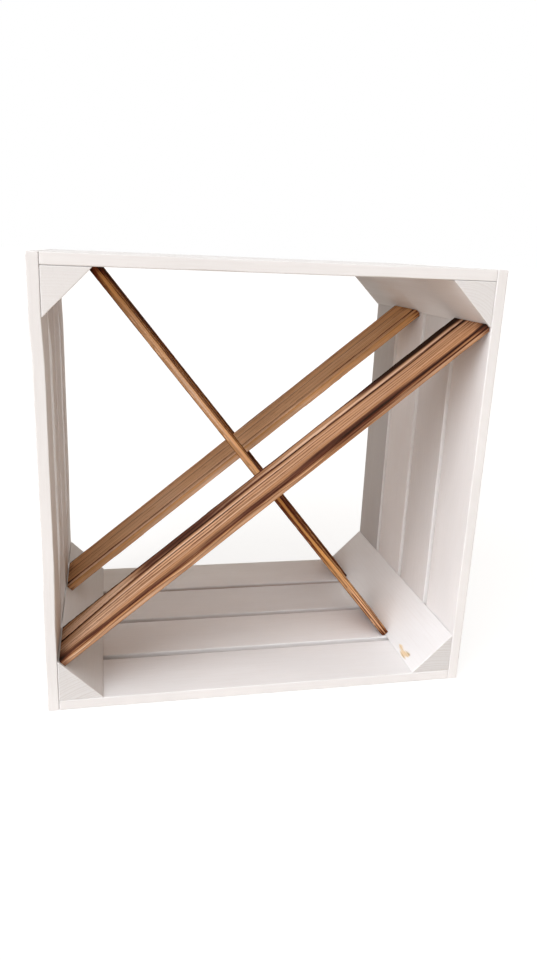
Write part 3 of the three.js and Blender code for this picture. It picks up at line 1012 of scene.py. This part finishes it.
def make_slat(
        name, heart, ring, seed, bands, rim, front_edge, edge_lines, back_edge, under, ends, honey,
        swing=0.0, lean=LEVEL, pale=(), edge_pale=()):
    """A slat: a rectangle of width by thickness with rounded edges, carried along its length between its
    two cut ends. The grain runs out by swing * exp(-share / settles) * (c - 0.1) at share of the length and
    c of the width, and leans by the pairs where c is more than about 0.4. The brushed face lies lower by
    relief * (1 - late wood), the edges are rubbed back by wear * noise, and the flame mask is the bands and
    lines of each face, and a level on the ends."""
    sizes = bpy.context.scene.crate_sizes
    part = slat_section(name)
    low_c, high_c = spread(name, Y)
    width = high_c - low_c
    half_c, half_t = width / 2.0, part["half"]
    outline = rounded_outline(
        rectangle(half_c, half_t), sizes.slat_arris, sizes.arris_steps, [sizes.slat_pitch] * 4)
    stations = np.linspace(0.0, 1.0, int(round(part["length"] / SLAT_STEP)) + 1)
    piece = Carried(
        outline, lambda p, d: p * (1.0 - d / np.array([half_c, half_t])),
        part["start"], part["end"], stations, sizes.end_arris, np.linspace(0.0009, half_t - 0.0004, 6))
    place = ((heart[0] - 0.5) * width, heart[1])
    share = along_share(piece, part["length"])
    across = piece.across / width + 0.5
    grain = across + swing * np.exp(-share / GRAIN_SETTLES) * np.maximum(across - 0.1, 0.0)
    grain += strength_along(lean, share) * soft_step(0.2, 0.6, across)
    rings = growth_rings((grain - 0.5) * width, piece.through, piece.along, place, ring, seed, 0.5)
    upper = soft_step(*SLAT_FACE, piece.normal[..., 1])
    lower = soft_step(*SLAT_FACE, -piece.normal[..., 1])
    front = soft_step(*SLAT_FACE, -piece.normal[..., 0])
    back = soft_step(*SLAT_FACE, piece.normal[..., 0])
    flame = upper * (banded(bands, share, grain, seed) + banded(rim, share, across, seed + 31))
    flame += lower * under
    level = piece.through / (2.0 * half_t) + 0.5
    flame += front * (strength_along(front_edge, share) + banded(edge_lines, share, level, seed + 70))
    flame += back * strength_along(back_edge, share)
    flame = flame * (1.0 - piece.end) + ends * piece.end
    near_end = bell(share, 0.0, 0.018) + bell(share, 1.0, 0.018)
    flame += 0.35 * near_end + 0.25 * piece.arris * (0.5 + 0.5 * slow_wave(piece.along, seed + 50, 0.08))
    streaks = upper * banded(pale, share, grain, seed) + front * banded(edge_pale, share, level, seed + 70)
    relief = sizes.slat_relief * (1.0 - late_wood(rings))
    rubbed = slow_wave(piece.along + 5.0 * piece.across, seed + 60, 0.09)
    wear = sizes.arris_wear * soft_step(0.0, 1.0, rubbed)
    piece.push(relief + wear * piece.arris)
    origin = part["middle"] + (low_c + high_c) / 2.0 * Y
    made = piece.mesh_object(
        name + "_flamed", origin, part["along"], Y, part["through"],
        {"grain": grain_place(piece, seed), "ring": rings, "scorch": np.clip(flame, 0.0, 1.3),
         "pale": streaks, "honey": honey[0] + (honey[1] - honey[0]) * front})
    return settle(made, one_material("flamed_softwood", flamed_wood), "flamed_pine", name)


def make_staple(name, outward, shift):
    """A staple: a rounded square section carried along a U. The path runs up one leg, turns by a quarter
    circle into the crown and down the other leg, and the section turns with it. The tips are closed."""
    along = np.cross(Y, outward)
    low_y, high_y = spread(name, Y)
    low_t, high_t = spread(name, outward)
    low_a, high_a = spread(name, along)
    wire = high_a - low_a
    half, bend = wire / 2.0, wire
    reach, top = (high_y - low_y) / 2.0 - half, high_t - half
    legs = np.linspace(low_t, top - bend, STAPLE_LINES)
    turn = np.linspace(0.0, np.pi / 2, BEND_STEPS + 1)[1:]
    flat = np.linspace(-reach + bend, reach - bend, STAPLE_LINES)[1:-1]
    centre_y = np.concatenate([
        np.full(len(legs), -reach), -reach + bend - bend * np.cos(turn), flat,
        reach - bend + bend * np.cos(turn[::-1]), np.full(len(legs), reach)])
    centre_t = np.concatenate([
        legs, top - bend + bend * np.sin(turn), np.full(len(flat), top),
        top - bend + bend * np.sin(turn[::-1]), legs[::-1]])
    angle = np.concatenate([
        np.zeros(len(legs)), turn, np.full(len(flat), np.pi / 2), np.pi - turn[::-1],
        np.full(len(legs), np.pi)])
    section, _, _ = rounded_outline(rectangle(half, half), half * 0.45, 3, [wire] * 4)
    side = np.stack([np.cos(angle), -np.sin(angle)], 1)
    y = centre_y[:, None] - section[None, :, 0] * side[:, :1]
    t = centre_t[:, None] - section[None, :, 0] * side[:, 1:]
    a = np.repeat(section[None, :, 1], len(angle), 0)
    origin = (low_y + high_y) / 2.0 * Y + (low_a + high_a) / 2.0 * along
    place = origin + y[..., None] * Y + t[..., None] * outward + a[..., None] * along
    path = np.concatenate([[0.0], np.cumsum(np.hypot(np.diff(centre_y), np.diff(centre_t)))])
    along_wire, across_wire = np.broadcast_arrays(path[:, None], section[None, :, 0])
    grain = np.stack([along_wire, across_wire, a], -1) + shift
    made = new_piece(name + "_wire", place.reshape(-1, 3), *tube_faces(*y.shape), {"grain": grain})
    return settle(made, one_material("drawn_wire", zinc_wire), "zinc_wire", name)


def staple_names(wall, index):
    """The two staples of a board, in the order that they lie along it."""
    return [f"staple_{wall}_{index}_{end}" for end in STAPLE_ENDS[wall]]


class CRATE_OT_boards(bpy.types.Operator):
    """Dress the four walls of boards"""

    bl_idname = "crate.boards"
    bl_label = "Boards"

    def execute(self, context):
        for side, (wall, (along, outward)) in enumerate(WALLS.items()):
            for index in range(1, BOARDS_PER_WALL + 1):
                seed = BOARD_SEED + 10 * side + index
                make_board(f"{wall}_board_{index}", along, outward, staple_names(wall, index), seed)
        return {"FINISHED"}


class CRATE_OT_posts(bpy.types.Operator):
    """Dress the four corner posts"""

    bl_idname = "crate.posts"
    bl_label = "Corner posts"

    def execute(self, context):
        for index, (name, post) in enumerate(POSTS.items()):
            make_post(name, post["legs"], post["heart"], post["ring"], post["sawn"], POST_SEED + index)
        return {"FINISHED"}


class CRATE_OT_slats(bpy.types.Operator):
    """Dress the flamed slats of the cross"""

    bl_idname = "crate.slats"
    bl_label = "Cross slats"

    def execute(self, context):
        for name, slat in SLATS.items():
            make_slat(name, **slat)
        return {"FINISHED"}


class CRATE_OT_staples(bpy.types.Operator):
    """Dress the staples that hold the boards to the posts"""

    bl_idname = "crate.staples"
    bl_label = "Staples"

    def execute(self, context):
        for side, (wall, (_, outward)) in enumerate(WALLS.items()):
            for index in range(1, BOARDS_PER_WALL + 1):
                for end, name in enumerate(staple_names(wall, index)):
                    make_staple(name, outward, STAPLE_SHIFT * (8 * side + 2 * index + end))
        return {"FINISHED"}


def camera_or_mirror(tree):
    """1 for rays from the camera, and for those that it sees in gloss or through glass."""
    path = node(tree, "ShaderNodeLightPath").outputs
    seen = math_node(tree, "MAXIMUM", path["Is Camera Ray"], path["Is Glossy Ray"])
    return math_node(tree, "MAXIMUM", seen, path["Is Transmission Ray"])


def floor_material(stage):
    """A pale matt floor. The camera sees it white with a pale shadow, except under the crate, where only the
    light that gets there shows. It throws light back on the crate."""
    material, tree, out = new_material("pale_floor")
    bounce = node(tree, "ShaderNodeBsdfDiffuse", {"Color": (*stage.floor_bounce, 1.0)})
    shaded = node(tree, "ShaderNodeBsdfDiffuse", {"Color": (*stage.floor, 1.0)})
    place = node(tree, "ShaderNodeTexCoord").outputs["Object"]
    away = node(tree, "ShaderNodeSeparateXYZ", {0: place}).outputs
    clear = [
        smooth_range(tree, math_node(tree, "ABSOLUTE", away[axis]), reach - WHITE_BEGINS, reach - WHITE_FULL)
        for axis, reach in enumerate(CAD_HIGH[:2])]
    white = node(
        tree, "ShaderNodeEmission",
        {"Color": (*stage.floor_white, 1.0), "Strength": math_node(tree, "MAXIMUM", *clear)})
    seen = node(tree, "ShaderNodeAddShader", {0: shaded.outputs[0], 1: white.outputs[0]})
    shader = node(
        tree, "ShaderNodeMixShader", {0: camera_or_mirror(tree), 1: bounce.outputs[0], 2: seen.outputs[0]})
    tree.links.new(shader.outputs[0], out.inputs[0])
    return material


def make_floor(stage):
    """A flat floor: the points (u, v, 0) for u and v from -reach to reach, a hair under the crate."""
    ticks = np.linspace(-stage.floor_reach, stage.floor_reach, FLOOR_LINES)
    u, v = np.meshgrid(ticks, ticks)
    place = np.stack([u, v, np.full(u.shape, -FLOOR_DROP)], -1).reshape(-1, 3)
    step = np.arange(FLOOR_LINES - 1)
    first = step[:, None] * FLOOR_LINES + step[None]
    quads = np.stack([first, first + 1, first + FLOOR_LINES + 1, first + FLOOR_LINES], -1).reshape(-1, 4)
    floor = new_piece("floor", place, quads.ravel().astype(np.int32), np.full(len(quads), 4, np.int32), {})
    floor.data.materials.append(floor_material(stage))


def make_world(stage):
    """White to the camera, and an even fill to everything else."""
    world = bpy.data.worlds.new("studio")
    bpy.context.scene.world = world
    world.use_nodes = True
    tree = world.node_tree
    tree.nodes.clear()
    colour = mix_colour(tree, camera_or_mirror(tree), stage.fill, (1.0, 1.0, 1.0))
    shader = node(tree, "ShaderNodeBackground", {"Color": colour, "Strength": 1.0})
    out = tree.nodes.new("ShaderNodeOutputWorld")
    tree.links.new(shader.outputs[0], out.inputs[0])


def make_lamp(name, colour, strength, angle, azimuth, elevation):
    """A broad soft light from far away: azimuth is the way round from the front, to the left."""
    lamp = bpy.data.lights.new(name, "SUN")
    lamp.color = colour
    lamp.energy = strength
    lamp.angle = angle
    made = bpy.data.objects.new(name, lamp)
    bpy.context.scene.collection.objects.link(made)
    level = np.cos(elevation)
    towards = -np.sin(azimuth) * level * X - np.cos(azimuth) * level * Y + np.sin(elevation) * Z
    side = np.cross(Z, towards)
    side /= np.linalg.norm(side)
    upright = np.cross(towards, side)
    made.matrix_world = Matrix(np.stack([side, upright, towards], 1).tolist()).to_4x4()


def make_camera(stage):
    """The camera of the photograph: its right and up directions give its turn."""
    lens = bpy.data.cameras.new("camera")
    lens.sensor_width = SENSOR_WIDTH
    lens.lens = stage.lens
    lens.clip_start, lens.clip_end = 0.01, 500.0
    camera = bpy.data.objects.new("camera", lens)
    bpy.context.scene.collection.objects.link(camera)
    right, up = np.array(stage.camera_right), np.array(stage.camera_up)
    turn = Matrix(np.stack([right, up, np.cross(right, up)], 1).tolist()).to_4x4()
    camera.matrix_world = Matrix.Translation(stage.camera_place) @ turn
    bpy.context.scene.camera = camera


class CRATE_OT_stage(bpy.types.Operator):
    """Set up the floor, the light and the camera"""

    bl_idname = "crate.stage"
    bl_label = "Stage"

    def execute(self, context):
        stage = context.scene.crate_stage
        make_floor(stage)
        make_world(stage)
        for name in LAMPS:
            strength, azimuth, elevation = (
                getattr(stage, f"{name}_{setting}") for setting in ("strength", "azimuth", "elevation"))
            make_lamp(name, stage.lamp, strength, stage.lamp_angle, azimuth, elevation)
        make_camera(stage)
        context.scene.view_settings.view_transform = "Standard"
        return {"FINISHED"}


class CRATE_PT_sidebar(bpy.types.Panel):
    """Lists the pieces of the crate with their sizes and colours"""

    bl_idname = "CRATE_PT_sidebar"
    bl_label = "Wine crate"
    bl_space_type = "VIEW_3D"
    bl_region_type = "UI"
    bl_category = "Crate"

    def draw(self, context):
        column = self.layout.column()
        for operator in OPERATORS:
            column.operator(operator.bl_idname)
        for group in (context.scene.crate_sizes, context.scene.crate_finish, context.scene.crate_stage):
            box = self.layout.box()
            for name in group.bl_rna.properties.keys():
                if name not in {"rna_type", "name"}:
                    box.prop(group, name)


GROUPS = {"crate_sizes": CrateSizes, "crate_finish": CrateFinish, "crate_stage": CrateStage}
OPERATORS = (CRATE_OT_stage, CRATE_OT_boards, CRATE_OT_posts, CRATE_OT_slats, CRATE_OT_staples)


def register():
    """Registers the classes and puts the settings on the scene."""
    for group in (*GROUPS.values(), *OPERATORS, CRATE_PT_sidebar):
        bpy.utils.register_class(group)
    for name, group in GROUPS.items():
        setattr(bpy.types.Scene, name, PointerProperty(type=group))


def unregister():
    """Takes the settings and the classes away again."""
    for name in GROUPS:
        delattr(bpy.types.Scene, name)
    for group in reversed((*GROUPS.values(), *OPERATORS, CRATE_PT_sidebar)):
        bpy.utils.unregister_class(group)


def main():
    register()
    bpy.ops.crate.stage()
    bpy.ops.crate.boards()
    bpy.ops.crate.posts()
    bpy.ops.crate.slats()
    bpy.ops.crate.staples()


if __name__ == "__main__":
    main()
